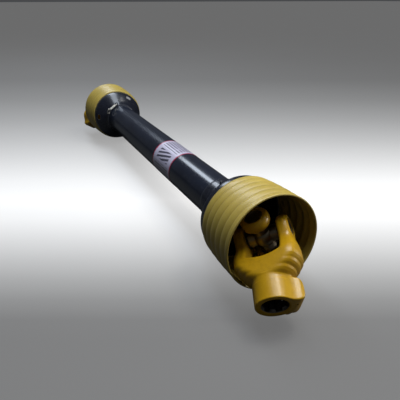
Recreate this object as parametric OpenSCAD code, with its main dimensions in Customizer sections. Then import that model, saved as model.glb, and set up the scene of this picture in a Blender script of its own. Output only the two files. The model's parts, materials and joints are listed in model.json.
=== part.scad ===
// Guarded telescopic drive shaft with a universal joint at each end.
// +X runs along the shaft to the front joint, +Z is up, units are mm.
// The frame origin is on the front bore's axis, where the splines begin.

/* [Shaft] */
// Distance between the two cross centres with the tubes closed
shaft_len = 860; // [560:10:1210]

/* [Modelled pose] */
// Roll of both joints about the shaft
pin_roll = 30; // [-90:0.5:90]
// Front cross turned about the inner yoke's pins
front_cross_turn = -31; // [-32:1:32]
// Front outer yoke turned about its own pins
front_yoke_turn = 10; // [-20:1:20]
// Rear cross turned about the inner yoke's pins
rear_cross_turn = 31; // [-32:1:32]
// Rear outer yoke turned about its own pins
rear_yoke_turn = 4; // [-20:1:20]

/* [Yoke head] */
// Radius of the yoke ears
ear_r = 20.5; // [19:0.5:21]
// Distance between the inner faces of the two ears
ear_gap = 48; // [46:0.5:50]
// Distance over the outer faces of the two ears
ear_span = 82; // [80:0.5:84]
// Width of the arms beside the ears
arm_w = 34; // [30:1:35]

/* [Outer yoke hub] */
// Hub diameter
hub_d = 51.5; // [48:0.5:56]
// Distance from the cross centre to the hub's end face
hub_reach = 113; // [112:1:118]
// Turn of the push pin boss about the bore
boss_turn = -30; // [-45:1:0]

/* [Splined bore] */
// Spline major diameter
spline_major = 34.9; // [34.8:0.1:35.4]
// Spline minor diameter, over the lands
spline_minor = 30; // [29.6:0.1:30.2]
// Width of each spline groove
spline_w = 8.7; // [8.6:0.1:9]
// Number of splines
spline_count = 6; // [6:2:6]

/* [Cross kit] */
// Bearing cap outside diameter
cap_d = 27; // [26:0.5:28]
// Length over a pair of bearing caps
cap_span = 74.6; // [74:0.1:75]
// Trunnion diameter
trunnion_d = 17.2; // [16:0.1:17.4]
// Needle rollers in each cap
needle_count = 22; // [16:1:23]

/* [Profile tubes] */
// Radius over the rounded lobes of the outer tube
lobe_r = 25; // [23:0.5:25]
// Distance from the axis to the middle of a flat of the outer tube
flat_r = 19; // [18:0.5:20]
// Wall of both tubes
profile_wall = 3; // [2.5:0.1:3.5]

/* [Guard] */
// Outside radius of the bell at its mouth
bell_r = 74; // [73:0.5:80]
// Bell wall
bell_wall = 2.2; // [1.8:0.1:2.6]
// Outside diameter of the outer guard tube
guard_d = 72; // [72:0.5:76]
// Number of windows around each dish
window_count = 3; // [1:1:18]
// Distance from the front cross to the label's front edge
label_start = 283; // [200:1:340]
// Label length
label_len = 95; // [60:1:110]

/* [Hidden] */
$fn = 96;
eps = 0.5;
run_fit = 0.05;
seat_fit = 0.02;
head_r = 45.5;
outer_throat = 54;
inner_throat = 50;
hub_r = hub_d / 2;
lead_in = 2;
pin_off = 21.7;
pin_x = hub_reach - 14;
pin_r = 6.5;
waist_r = 4;
boss_r = 13.5;
boss_half = 18.5;
boss_reach = 3.3;
boss_round = 8;
pocket_r = 9.3;
nipple_turn = 135;
nipple_seat = 16.6;
nipple_r = 3.4;
pocket_floor = -8.5;
button_r = 9.2;
stop_r = 1.5;
stop_off = 5.7;
stop_z = 5.5;
cap_r = cap_d / 2;
cap_end = cap_span / 2;
cap_mouth = 24;
cap_bore_r = 11.1;
cap_floor = 35.6;
trunnion_r = trunnion_d / 2;
trunnion_end = 35.5;
needle_r = 1.2;
needle_pitch_r = (cap_bore_r + trunnion_r) / 2;
snap_t = 1.5;
snap_r = 14.4;
snap_z = cap_end + 0.08;
inner_hub_r = 31;
groove_r = 27.6;
tail_r = 29.4;
groove_x0 = 84;
groove_x1 = 90;
inner_reach = 118;
socket_x = 58;
roll_x = 104;
roll_r = 5;
arc_r = 40;
arc_off = arc_r - flat_r;
guard_r = guard_d / 2;
guard_in = guard_r - 2.5;
slider_r = guard_in - 0.08;
slider_in = slider_r - 2.4;
neck_x = 93;
collar_x0 = 106.2;
front_collar_end = 137;
rear_collar_end = 109;
guard_end = shaft_len - rear_collar_end - 1;
dish_r = 64.2;
mouth_x = 26;
bell_base = 63;
rib_pitch = 18;
rib_count = 4;
rib_minor = 27;
eye_turn = 105;
eye_r = 43.2;
eye_x = 110;
wire_r = 1.4;
loop_len = 31;
link_len = 15;
link_w = 9.2;
loop_w = 10;

// Start of the front bore's splines, measured from the front cross centre
function turn_x(v, a) = [v.x, v.y * cos(a) - v.z * sin(a), v.y * sin(a) + v.z * cos(a)];
function turn_y(v, a) = [v.x * cos(a) + v.z * sin(a), v.y, v.z * cos(a) - v.x * sin(a)];
function turn_z(v, a) = [v.x * cos(a) - v.y * sin(a), v.x * sin(a) + v.y * cos(a), v.z];
spline_pos = turn_x(
    turn_z(turn_y([hub_reach - lead_in, 0, 0], front_yoke_turn), front_cross_turn), pin_roll);

// ---- placement ----

// Front half axis: x forward from the front cross centre
module front_axis() {
    translate(-spline_pos) children();
}

// Rear half axis: x backward from the rear cross centre
module rear_axis() {
    translate(-spline_pos - [shaft_len, 0, 0]) rotate([0, 0, 180]) children();
}

// Inner yoke frame of the front joint, pins along z
module front_joint() {
    front_axis() rotate([pin_roll, 0, 0]) children();
}

// Inner yoke frame of the rear joint, pins along z
module rear_joint() {
    translate(-spline_pos - [shaft_len, 0, 0])
        rotate([pin_roll, 0, 0]) rotate([0, 0, 180]) children();
}

module front_swing() {
    front_joint() rotate([0, 0, front_cross_turn]) children();
}

module rear_swing() {
    rear_joint() rotate([0, 0, rear_cross_turn]) children();
}

module front_fork() {
    front_swing() rotate([0, front_yoke_turn, 0]) children();
}

module rear_fork() {
    rear_swing() rotate([0, rear_yoke_turn, 0]) children();
}

// Turns a z-directed piece onto the outer yoke's pins (y)
module on_y() {
    rotate([-90, 0, 0]) children();
}

// One piece at each end of the z axis
module both_ends() {
    children();
    rotate([180, 0, 0]) children();
}

// A solid of revolution about x, drawn as [x, r] points
module turned(points) {
    rotate([0, 90, 0]) rotate_extrude() polygon([for (p = points) [p.y, p.x]]);
}

// A round bar about x from x0 to x1
module bar(r, x0, x1) {
    translate([x0, 0, 0]) rotate([0, 90, 0]) cylinder(r = r, h = x1 - x0);
}

// ---- yokes ----

// Space between the two ears, cut back to a round throat
module throat(r) {
    intersection() {
        sphere(r = r);
        cube([4 * r, ear_gap, 4 * r], center = true);
    }
}

// Forked head, x from the cross centre to the web, pins along y
module fork_head(shoulder, throat_r) {
    arm_half = arm_w / 2;
    web_half = 26;
    reach_y = 50;
    side = [
        [0, -arm_half], [24, -arm_half], [38, -21], [50, -web_half], [90, -web_half],
        [90, web_half], [50, web_half], [38, 21], [24, arm_half], [0, arm_half]
    ];
    difference() {
        intersection() {
            rotate([90, 0, 0]) linear_extrude(height = 2 * reach_y, center = true)
                union() {
                    circle(r = ear_r);
                    polygon(side);
                }
            union() {
                intersection() {
                    sphere(r = head_r);
                    cube([4 * head_r, ear_span, 4 * head_r], center = true);
                }
                turned(shoulder);
            }
        }
        throat(throat_r);
        on_y() cylinder(r = cap_r + seat_fit, h = 2 * ear_span, center = true);
        on_y() both_ends() translate([0, 0, snap_z - 0.04])
            cylinder(r = snap_r + 0.2, h = snap_t + 0.12);
    }
}

// The six-spline bore's cross section
module spline_section() {
    circle(r = spline_minor / 2);
    intersection() {
        circle(r = spline_major / 2);
        for (i = [0 : spline_count / 2 - 1])
            rotate(i * 360 / spline_count)
                square([spline_major + 2, spline_w], center = true);
    }
}

// Frame of the push pin: z along the pin, origin on its axis
module pin_frame() {
    rotate([boss_turn, 0, 0]) translate([pin_x, pin_off, 0]) children();
}

// Rounded block that carries the push pin beside the hub
module pin_boss() {
    side_y = pin_off + boss_reach + boss_r - boss_round;
    intersection() {
        pin_frame() union() {
            cylinder(r = boss_r, h = 2 * boss_half, center = true);
            translate([0, boss_reach, 0])
                cylinder(r = boss_r, h = 2 * boss_half, center = true);
        }
        rotate([boss_turn, 0, 0]) translate([pin_x - 2 * boss_r, 0, 0])
            rotate([90, 0, 90]) linear_extrude(height = 4 * boss_r) union() {
                translate([0, -boss_half]) square([side_y, 2 * boss_half]);
                translate([0, boss_round - boss_half])
                    square([side_y + boss_round, 2 * (boss_half - boss_round)]);
                for (s = [-1, 1])
                    translate([side_y, s * (boss_half - boss_round)]) circle(r = boss_round);
            }
    }
}

module outer_yoke() {
    shoulder = [
        [17, 0], [17, ear_span / 2], [24, 43], [32, 45.4], [40, 46.8], [50, 47], [55, 46],
        [58.5, 43.8], [60, 42.4], [63.5, 40.4], [66, 38], [68, 35.6], [72, 33.6], [75, 30.4],
        [78, 26.4], [80, hub_r - 0.7], [84, hub_r - 0.7], [84.5, hub_r], [90, hub_r], [90, 0]
    ];
    difference() {
        union() {
            fork_head(shoulder, outer_throat);
            bar(hub_r, 84.5, hub_reach);
            pin_boss();
        }
        throat(outer_throat);
        translate([ear_gap, 0, 0]) rotate([0, 90, 0])
            linear_extrude(height = hub_reach) spline_section();
        translate([hub_reach - lead_in, 0, 0]) rotate([0, 90, 0])
            cylinder(r1 = spline_major / 2, r2 = spline_major / 2 + lead_in, h = lead_in + 0.01);
        pin_frame() {
            translate([0, 0, -boss_half - 1]) cylinder(r = pin_r + run_fit, h = boss_half + 17);
            translate([0, 0, -2 * boss_half])
                cylinder(r = pocket_r, h = 2 * boss_half + pocket_floor);
            translate([-11, stop_off, stop_z]) rotate([0, 90, 0])
                cylinder(r = stop_r + seat_fit, h = 40);
        }
    }
}

// Hardened lock pin with a button head at -z and a waist that frees the shaft
module push_pin() {
    waist_z = 1.9;
    pin_end = 8.9;
    button_z = -22;
    button_h = 9;
    difference() {
        union() {
            translate([0, 0, waist_z]) cylinder(r = pin_r, h = pin_end - waist_z - 0.8);
            translate([0, 0, pin_end - 0.8]) cylinder(r1 = pin_r, r2 = pin_r - 0.8, h = 0.8);
            translate([0, 0, button_z]) cylinder(r = waist_r, h = waist_z - button_z);
            translate([0, 0, button_z - button_h + 1.5]) cylinder(r = button_r, h = button_h - 1.5);
            translate([0, 0, button_z - button_h])
                cylinder(r1 = button_r - 1.5, r2 = button_r, h = 1.5);
        }
        // flat that the stop pin rides in
        translate([-10, stop_off - stop_r - run_fit, waist_z - 1])
            cube([20, 10, stop_z + stop_r + 2 * run_fit - waist_z + 1]);
    }
}

module stop_pin() {
    translate([-10, stop_off, stop_z]) rotate([0, 90, 0]) cylinder(r = stop_r, h = 22);
}

// Compression spring between the pocket floor and the button
module pin_spring() {
    coils = 3.5;
    steps = 20;
    wire = 0.65;
    mean_r = 7.6;
    z0 = -21.3;
    z1 = pocket_floor - 0.75;
    function at(i) = [
        mean_r * cos(360 * i / steps), mean_r * sin(360 * i / steps),
        z0 + (z1 - z0) * i / (coils * steps)
    ];
    for (i = [0 : coils * steps - 1])
        hull() {
            translate(at(i)) sphere(r = wire, $fn = 8);
            translate(at(i + 1)) sphere(r = wire, $fn = 8);
        }
}

// Inner yoke, x from the cross centre towards the tube, pins along y
module inner_yoke() {
    shoulder = [
        [17, 0], [17, ear_span / 2], [26, 43], [36, 45], [50, 45], [56, 42], [64, 36.5],
        [74, inner_hub_r], [groove_x0, inner_hub_r], [groove_x0, 0]
    ];
    difference() {
        union() {
            fork_head(shoulder, inner_throat);
            turned([
                [groove_x0 - 2, 0], [groove_x0 - 2, groove_r], [groove_x1, groove_r],
                [groove_x1, tail_r], [inner_reach - 1.5, tail_r],
                [inner_reach, tail_r - 1.5], [inner_reach, 0]
            ]);
        }
        throat(inner_throat);
        translate([socket_x, 0, 0]) rotate([0, 90, 0])
            linear_extrude(height = inner_reach) lobed(seat_fit);
        translate([roll_x, 0, 0])
            cylinder(r = roll_r + seat_fit, h = 3 * tail_r, center = true);
    }
}

module front_inner_placed() {
    front_joint() rotate([90, 0, 180]) children();
}

module rear_inner_placed() {
    rear_joint() rotate([90, 0, 180]) children();
}

// Slotted spring pin through hub and tube, along z
module roll_pin() {
    pin_half = 28;
    slot_w = 1.2;
    roll_in = roll_r - 1.5;
    translate([roll_x, 0, 0]) difference() {
        cylinder(r = roll_r, h = 2 * pin_half, center = true);
        cylinder(r = roll_in, h = 3 * pin_half, center = true);
        translate([0, -slot_w / 2, -2 * pin_half]) cube([2 * roll_r, slot_w, 4 * pin_half]);
    }
}

// ---- cross kit, pieces along +z ----

module cross_body() {
    neck_r = 12;
    neck_end = 21.5;
    core_r = 16.5;
    difference() {
        union() {
            sphere(r = core_r);
            for (a = [0, 90])
                rotate([a, 0, 0]) {
                    cylinder(r = neck_r, h = 2 * neck_end, center = true);
                    cylinder(r = trunnion_r, h = 2 * trunnion_end, center = true);
                }
        }
        rotate([nipple_turn, 0, 0]) translate([0, 0, nipple_seat])
            cylinder(r = nipple_r + 2 * seat_fit, h = core_r);
    }
}

// Grease nipple between the -y and -z trunnions
module grease_nipple() {
    hex_h = 2.6;
    neck_h = 3;
    ball_r = 2;
    rotate([nipple_turn, 0, 0]) translate([0, 0, nipple_seat]) {
        cylinder(r = nipple_r, h = hex_h, $fn = 6);
        translate([0, 0, hex_h]) cylinder(r1 = 2.4, r2 = 1.7, h = neck_h);
        translate([0, 0, hex_h + neck_h + ball_r / 2]) sphere(r = ball_r);
    }
}

module cap() {
    difference() {
        translate([0, 0, cap_mouth]) cylinder(r = cap_r, h = cap_end - cap_mouth);
        translate([0, 0, cap_mouth - eps]) cylinder(r = cap_bore_r, h = cap_floor - cap_mouth + eps);
    }
}

module needles() {
    needle_z = 25.3;
    needle_l = 9.8;
    for (i = [0 : needle_count - 1])
        rotate(i * 360 / needle_count)
            translate([needle_pitch_r, 0, needle_z]) cylinder(r = needle_r, h = needle_l, $fn = 24);
}

// Lip seal at the cap's mouth
module seal() {
    rotate_extrude() polygon([
        [trunnion_r + 0.1, 22.1], [13.2, 22.1], [13.2, 23.9], [11, 23.9], [11, 25.1],
        [trunnion_r + 0.1, 25.1]
    ]);
}

module snap_ring() {
    ring_in = 11.9;
    gap = 26;
    lug_r = 2;
    translate([0, 0, snap_z]) linear_extrude(height = snap_t) difference() {
        union() {
            difference() {
                circle(r = snap_r);
                circle(r = ring_in);
                polygon([[0, 0], [30, -30 * tan(gap)], [30, 30 * tan(gap)]]);
            }
            for (s = [-1, 1])
                rotate(s * (gap + 6)) translate([ring_in - 0.2, 0]) circle(r = lug_r, $fn = 32);
        }
        for (s = [-1, 1])
            rotate(s * (gap + 6)) translate([ring_in - 0.2, 0]) circle(r = 0.8, $fn = 24);
    }
}

// ---- tubes ----

// Rounded three-lobed section, grown outwards by g
module lobed(g) {
    intersection() {
        circle(r = lobe_r + g);
        for (i = [0, 1, 2])
            rotate(120 * i) translate([arc_off, 0]) circle(r = arc_r + g);
    }
}

module lobed_tube(g, x0, x1) {
    translate([x0, 0, 0]) rotate([0, 90, 0]) linear_extrude(height = x1 - x0)
        difference() {
            lobed(g);
            lobed(g - profile_wall);
        }
}

module pinned_tube(g) {
    difference() {
        lobed_tube(g, socket_x + 2, shaft_len - inner_reach - 17);
        translate([roll_x, 0, 0])
            cylinder(r = roll_r + seat_fit, h = 3 * tail_r, center = true);
    }
}

// ---- guard, x from the cross centre towards the shaft's middle ----

// Outline of the ribbed bell, x towards the base; w steps it inwards by the wall
module bell_section(w) {
    r = bell_r - w;
    polygon([
        [0, -mouth_x], [r, -mouth_x], [r - 0.5, -mouth_x + 8], [r - 2.1, -12], [r - 2.8, 8],
        [r - 3.4, 26], [r - 4.4, 44], [r - 5.4, bell_base], [0, bell_base]
    ]);
    for (i = [0 : rib_count - 1])
        translate([bell_r - rib_minor - 0.8 - 0.3 * i * i, rib_pitch * i - 2])
            circle(r = rib_minor - w);
}

// Bell of wide rounded ribs with a rolled lip at its mouth and a flange at its base
module bell() {
    lip_r = 1.5;
    flange = 3;
    rotate([0, 90, 0]) rotate_extrude() union() {
        intersection() {
            difference() {
                bell_section(0);
                bell_section(bell_wall);
            }
            translate([bell_r / 2, -mouth_x]) square([bell_r, mouth_x + bell_base]);
        }
        translate([bell_r - lip_r, -mouth_x + lip_r]) circle(r = lip_r, $fn = 32);
        translate([dish_r + seat_fit, bell_base - flange]) square(flange);
    }
}

// Base cone with a rim of windows, a bearing pocket and a neck for the tube
module dish(neck_r) {
    window_w = 12;
    window_turn = -33;
    difference() {
        union() {
            turned([
                [57, dish_r], [63.2, dish_r], [63.2, dish_r + 1.6], [75, dish_r + 0.6],
                [78.5, 63.6], [81, 61.4], [87, 55], [93, 48], [97, 43.4], [100, 40.8],
                [103, 39.4], [106, 39], [106, neck_r + seat_fit],
                [neck_x, neck_r + seat_fit], [neck_x, 30.2], [90.05, 30.2], [90.05, 36.05],
                [82.5, 36.05], [82.5, 38.5], [92.5, 38.5], [97, 39.4], [95, 42.4],
                [91.2, 46.7], [85.3, 53.6], [79.3, 60], [77.2, 61.6], [74, 62], [57, 62]
            ]);
            eye_lug();
        }
        for (i = [0 : window_count - 1])
            rotate([window_turn + 360 * i / window_count, 0, 0])
                translate([74.6, -window_w / 2, 54.6]) cube([14, window_w, 5.4]);
    }
}

// Frame of the chain eye, z pointing away from the shaft axis
module eye_frame() {
    rotate([eye_turn - 90, 0, 0]) translate([eye_x, 0, eye_r]) children();
}

// Upright plate with an eye, standing on a tongue that grows from the cone
module eye_lug() {
    plate_t = 1.8;
    plate_r = 4.1;
    foot_r = 39.2;
    foot_w = 6;
    foot_x = 98;
    eye_frame() rotate([0, 90, 0]) linear_extrude(height = plate_t, center = true)
        difference() {
            union() {
                circle(r = plate_r);
                translate([0, -foot_w / 2]) square([eye_r - foot_r, foot_w]);
            }
            circle(r = 2.3);
        }
    rotate([eye_turn - 90, 0, 0]) translate([foot_x, -foot_w / 2, foot_r])
        cube([eye_x + plate_t / 2 - foot_x, foot_w, 1.4]);
}

module bearing_ring() {
    ring_w = groove_x1 - groove_x0 - 0.2;
    split_w = 2;
    difference() {
        turned([
            [groove_x0 + 0.1, groove_r + 0.06], [groove_x0 + 0.1, 36],
            [groove_x0 + 0.1 + ring_w, 36], [groove_x0 + 0.1 + ring_w, groove_r + 0.06]
        ]);
        translate([groove_x0 - 1, -split_w / 2, 0]) cube([ring_w + 3, split_w, 50]);
    }
}

// Collar that locks the guard tube to the neck
module lock_collar(tube_r, collar_x1) {
    edge = 0.8;
    turned([
        [collar_x0, tube_r + seat_fit], [collar_x0, 38.4], [collar_x1 - edge, 38],
        [collar_x1, 38 - edge], [collar_x1, tube_r + seat_fit]
    ]);
}

module round_tube(r_out, r_in, x0, x1) {
    translate([x0, 0, 0]) rotate([0, 90, 0]) difference() {
        cylinder(r = r_out, h = x1 - x0);
        translate([0, 0, -eps]) cylinder(r = r_in, h = x1 - x0 + 2 * eps);
    }
}

module label_wrap() {
    seam_w = 2;
    difference() {
        round_tube(guard_r + 0.3, guard_r + 0.03, label_start, label_start + label_len);
        translate([label_start - 1, -seam_w / 2, -guard_r - 5]) cube([label_len + 2, seam_w, 20]);
    }
}

// Wire link with straight sides along x, centred
module wire_link(len, width) {
    half = len / 2 - width / 2;
    side = width / 2 - wire_r;
    for (s = [-1, 1]) {
        translate([0, s * side, 0]) rotate([0, 90, 0])
            cylinder(r = wire_r, h = 2 * half, center = true, $fn = 32);
        translate([s * half, 0, 0]) rotate([0, 0, 90 - 90 * s]) rotate([0, 0, -90])
            rotate_extrude(angle = 180, $fn = 64) translate([side, 0]) circle(r = wire_r, $fn = 32);
    }
}

// The loop's frame: x runs down the loop from the eye, z away from the tube
module loop_frame() {
    eye_frame() rotate([17, 0, 0]) rotate([0, 0, -76]) children();
}

module chain_loop() {
    loop_frame() translate([loop_len / 2 - wire_r, 0, 0]) wire_link(loop_len, loop_w);
}

module chain_link() {
    gap = 0.3;
    sag = 25;
    loop_frame() translate([loop_len - 2 * wire_r, 0, 0]) rotate([0, sag, 0])
        translate([link_len / 2 - 3 * wire_r - gap, 0, 0]) rotate([90, 0, 0])
            wire_link(link_len, link_w);
}

// ---- the named pieces ----

yellow = [0.93, 0.72, 0.06];
steel = [0.62, 0.63, 0.65];
black = [0.08, 0.08, 0.1];

module front_outer_yoke() { color(yellow) front_fork() outer_yoke(); }
module front_push_pin() { color(steel) front_fork() pin_frame() push_pin(); }
module front_pin_spring() { color(steel) front_fork() pin_frame() pin_spring(); }
module front_stop_pin() { color(steel) front_fork() pin_frame() stop_pin(); }
module front_cross() { color(steel) front_swing() cross_body(); }
module front_grease_nipple() { color(steel) front_swing() grease_nipple(); }
module front_outer_caps() { color(steel) front_fork() on_y() both_ends() cap(); }
module front_inner_caps() { color(steel) front_joint() both_ends() cap(); }
module front_outer_needles() { color(steel) front_fork() on_y() both_ends() needles(); }
module front_inner_needles() { color(steel) front_joint() both_ends() needles(); }
module front_outer_seals() { color(black) front_fork() on_y() both_ends() seal(); }
module front_inner_seals() { color(black) front_joint() both_ends() seal(); }
module front_outer_snap_rings() { color(steel) front_fork() on_y() both_ends() snap_ring(); }
module front_inner_snap_rings() { color(steel) front_joint() both_ends() snap_ring(); }
module front_inner_yoke() { color(yellow) front_inner_placed() inner_yoke(); }
module front_roll_pin() { color(steel) front_inner_placed() roll_pin(); }
module outer_profile_tube() { color(steel) front_inner_placed() pinned_tube(0); }
module front_guard_bell() { color(yellow) front_axis() rotate([0, 0, 180]) bell(); }
module front_guard_dish() { color(black) front_axis() mirror([1, 0, 0]) dish(guard_r); }
module front_bearing_ring() { color("white") front_axis() rotate([0, 0, 180]) bearing_ring(); }
module front_lock_collar() {
    color(black) front_axis() rotate([0, 0, 180]) lock_collar(guard_r, front_collar_end);
}
module outer_guard_tube() {
    color(black) front_axis() rotate([0, 0, 180])
        round_tube(guard_r, guard_in, neck_x + 0.2, guard_end);
}
module guard_label() { color("white") front_axis() rotate([0, 0, 180]) label_wrap(); }

module rear_outer_yoke() { color(yellow) rear_fork() outer_yoke(); }
module rear_push_pin() { color(steel) rear_fork() pin_frame() push_pin(); }
module rear_pin_spring() { color(steel) rear_fork() pin_frame() pin_spring(); }
module rear_stop_pin() { color(steel) rear_fork() pin_frame() stop_pin(); }
module rear_cross() { color(steel) rear_swing() cross_body(); }
module rear_grease_nipple() { color(steel) rear_swing() grease_nipple(); }
module rear_outer_caps() { color(steel) rear_fork() on_y() both_ends() cap(); }
module rear_inner_caps() { color(steel) rear_joint() both_ends() cap(); }
module rear_outer_needles() { color(steel) rear_fork() on_y() both_ends() needles(); }
module rear_inner_needles() { color(steel) rear_joint() both_ends() needles(); }
module rear_outer_seals() { color(black) rear_fork() on_y() both_ends() seal(); }
module rear_inner_seals() { color(black) rear_joint() both_ends() seal(); }
module rear_outer_snap_rings() { color(steel) rear_fork() on_y() both_ends() snap_ring(); }
module rear_inner_snap_rings() { color(steel) rear_joint() both_ends() snap_ring(); }
module rear_inner_yoke() { color(yellow) rear_inner_placed() inner_yoke(); }
module rear_roll_pin() { color(steel) rear_inner_placed() roll_pin(); }
module inner_profile_tube() {
    color(steel) rear_inner_placed() pinned_tube(-profile_wall - 0.08);
}
module rear_guard_bell() { color(yellow) rear_axis() rotate([0, 0, 180]) bell(); }
module rear_guard_dish() {
    color(black) rear_axis() rotate([0, 0, 180]) dish(slider_r);
}
module rear_bearing_ring() { color("white") rear_axis() rotate([0, 0, 180]) bearing_ring(); }
module rear_lock_collar() {
    color(black) rear_axis() rotate([0, 0, 180]) lock_collar(slider_r, rear_collar_end);
}
module inner_guard_tube() {
    color(black) rear_axis() rotate([0, 0, 180])
        round_tube(slider_r, slider_in, neck_x + 0.2, shaft_len - 128);
}
module chain_loop_placed() { color(steel) rear_axis() rotate([0, 0, 180]) chain_loop(); }
module chain_link_placed() { color(steel) rear_axis() rotate([0, 0, 180]) chain_link(); }

front_outer_yoke();
front_push_pin();
front_pin_spring();
front_stop_pin();
front_cross();
front_grease_nipple();
front_outer_caps();
front_inner_caps();
front_outer_needles();
front_inner_needles();
front_outer_seals();
front_inner_seals();
front_outer_snap_rings();
front_inner_snap_rings();
front_inner_yoke();
front_roll_pin();
outer_profile_tube();
front_guard_bell();
front_guard_dish();
front_bearing_ring();
front_lock_collar();
outer_guard_tube();
guard_label();
rear_outer_yoke();
rear_push_pin();
rear_pin_spring();
rear_stop_pin();
rear_cross();
rear_grease_nipple();
rear_outer_caps();
rear_inner_caps();
rear_outer_needles();
rear_inner_needles();
rear_outer_seals();
rear_inner_seals();
rear_outer_snap_rings();
rear_inner_snap_rings();
rear_inner_yoke();
rear_roll_pin();
inner_profile_tube();
rear_guard_bell();
rear_guard_dish();
rear_bearing_ring();
rear_lock_collar();
inner_guard_tube();
chain_loop_placed();  // chain_loop
chain_link_placed();  // chain_link
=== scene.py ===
"""Looks of the guarded telescopic drive shaft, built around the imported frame."""

import json
import math

import bmesh
import bpy
import numpy as np
from mathutils import Matrix, Vector


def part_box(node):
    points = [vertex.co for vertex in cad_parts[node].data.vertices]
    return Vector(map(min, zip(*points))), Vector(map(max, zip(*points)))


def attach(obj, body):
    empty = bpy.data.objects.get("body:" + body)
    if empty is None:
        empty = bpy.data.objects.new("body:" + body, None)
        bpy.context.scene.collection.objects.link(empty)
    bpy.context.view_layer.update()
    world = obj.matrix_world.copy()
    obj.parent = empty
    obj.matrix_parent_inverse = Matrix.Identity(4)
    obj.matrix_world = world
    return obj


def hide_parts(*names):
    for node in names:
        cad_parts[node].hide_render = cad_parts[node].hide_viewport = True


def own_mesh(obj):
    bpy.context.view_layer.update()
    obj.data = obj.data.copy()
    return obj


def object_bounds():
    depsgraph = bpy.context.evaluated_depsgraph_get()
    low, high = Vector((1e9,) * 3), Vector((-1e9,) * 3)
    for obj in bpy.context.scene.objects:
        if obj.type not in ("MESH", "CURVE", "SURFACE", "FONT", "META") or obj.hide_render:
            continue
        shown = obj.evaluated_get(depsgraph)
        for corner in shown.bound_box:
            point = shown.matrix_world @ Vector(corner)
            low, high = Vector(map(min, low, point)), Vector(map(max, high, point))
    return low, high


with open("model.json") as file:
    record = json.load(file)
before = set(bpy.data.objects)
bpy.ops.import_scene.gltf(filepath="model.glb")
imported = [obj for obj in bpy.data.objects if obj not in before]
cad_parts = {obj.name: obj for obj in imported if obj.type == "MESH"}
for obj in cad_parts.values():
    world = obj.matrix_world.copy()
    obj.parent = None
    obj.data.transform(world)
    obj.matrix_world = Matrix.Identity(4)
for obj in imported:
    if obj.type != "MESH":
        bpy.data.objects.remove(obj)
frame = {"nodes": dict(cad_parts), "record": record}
cad_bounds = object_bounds()
record = frame["record"]

MM = 0.001
ENDS = ("front", "rear")
# which way the shaft's middle lies from each end's cross centre, along x
INWARD = {"front": -1, "rear": 1}

# ---- driving sizes, in millimetres; x runs from a cross centre along the piece ----
# forked head of every yoke, and the seats of its bearing caps
EAR_R = 20.5
EAR_HALF = 41.0
EAR_GAP_HALF = 24.0
ARM_HALF = 17.0
WEB_HALF = 26.0
WEB_START = 17.0
ARM_SPREAD = (22.0, 50.0)  # where an arm widens into the web
HEAD_R = 45.5
THROAT_CORNER = 10.0
CAP_SEAT_R = 13.52
# outer yoke: hub and splined bore
HUB_R = 25.75
HUB_START = 76.0
HUB_REACH = 113.0
SPLINES = 6
SPLINE_MINOR_R = 15.0
SPLINE_MAJOR_R = 17.45
SPLINE_W = 8.7
SPLINE_START = 40.0
LEAD_IN = 2.0
# push pin: its boss on the hub, its spring, and how far round the hub it sits
PIN_X = 99.0
PIN_OFF = 21.7
BOSS_R = 13.5
BOSS_HALF = 18.5
BOSS_REACH = 3.3
BOSS_BACK = 6.0
BOSS_TURN = math.radians(-30)
SPRING_Z0 = -21.3
SPRING_Z1 = -9.25
# inner yoke: neck, lobed socket and roll-pin hole
NECK_START = 72.0
NECK_REACH = 118.0
SOCKET_START = 58.0
SOCKET_R = 25.05
LOBES = 3
LOBE_OFF = 21.0
LOBE_R = 40.05
ROLL_PIN_X = 104.0
ROLL_PIN_R = 5.02
# guard: bell, dish, collar, chain eye and the two tubes
BELL_R = 74.0
BELL_MOUTH = -26.0
BELL_BASE = 63.0
BELL_WALL = 2.2
SPIGOT_X = 57.0
SPIGOT_R = 62.0
DISH_R = 64.2
DISH_RIM = 63.2
DISH_END = 106.0
COLLAR_START = 106.2
COLLAR_END = {"front": 137.0, "rear": 109.0}
COLLAR_R = 38.4
GUARD_R = 36.0
GUARD_IN = 33.5
SLIDER_R = 33.42
SLIDER_IN = 31.02
TUBE_R = {"front": GUARD_R, "rear": SLIDER_R}
FIT = 0.02
EYE_TURN = math.radians(105)
EYE_R = 43.2
EYE_X = 110.0


# ---- places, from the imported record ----
def named(rows):
    """The record's rows by their name."""
    return {row["name"]: row for row in rows}


JOINTS = named(record["behaviour"]["joints"])
MOUNTS = named(record["mounts"])


def frame_at(origin, x_dir, y_dir):
    """Matrix of a local frame from its origin, its x axis and roughly its y axis."""
    x = Vector(x_dir).normalized()
    y = Vector(y_dir)
    y = (y - x * y.dot(x)).normalized()
    z = x.cross(y)
    turn = Matrix((x, y, z)).transposed().to_4x4()
    return Matrix.Translation(Vector(origin)) @ turn


def fork_frame(end):
    """Frame of an outer yoke: x towards its bore's mouth, y through its ears."""
    swing = JOINTS[end + "_yoke_swing"]
    return frame_at(swing["pos_m"], MOUNTS[end + "_spline_bore"]["axis"], swing["axis"])


def inner_frame(end):
    """Frame of an inner yoke: x towards the shaft's middle, y through its ears."""
    swing = JOINTS[end + "_cross_swing"]
    return frame_at(swing["pos_m"], (INWARD[end], 0, 0), swing["axis"])


def guard_point(end, x, y, z):
    """A guard point in metres; x runs from the cross centre towards the shaft's middle."""
    centre = JOINTS[end + "_cross_swing"]["pos_m"]
    return (centre[0] + INWARD[end] * x * MM, centre[1] + y * MM, centre[2] + z * MM)


# ---- distance fields: negative inside, in millimetres ----
def smin(a, b, k):
    """Union of two fields, blended over a width of k."""
    h = np.clip(0.5 + 0.5 * (b - a) / k, 0.0, 1.0)
    return b * (1 - h) + a * h - k * h * (1 - h)


def smax(a, b, k):
    """Overlap of two fields, blended over a width of k."""
    return -smin(-a, -b, k)


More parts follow.
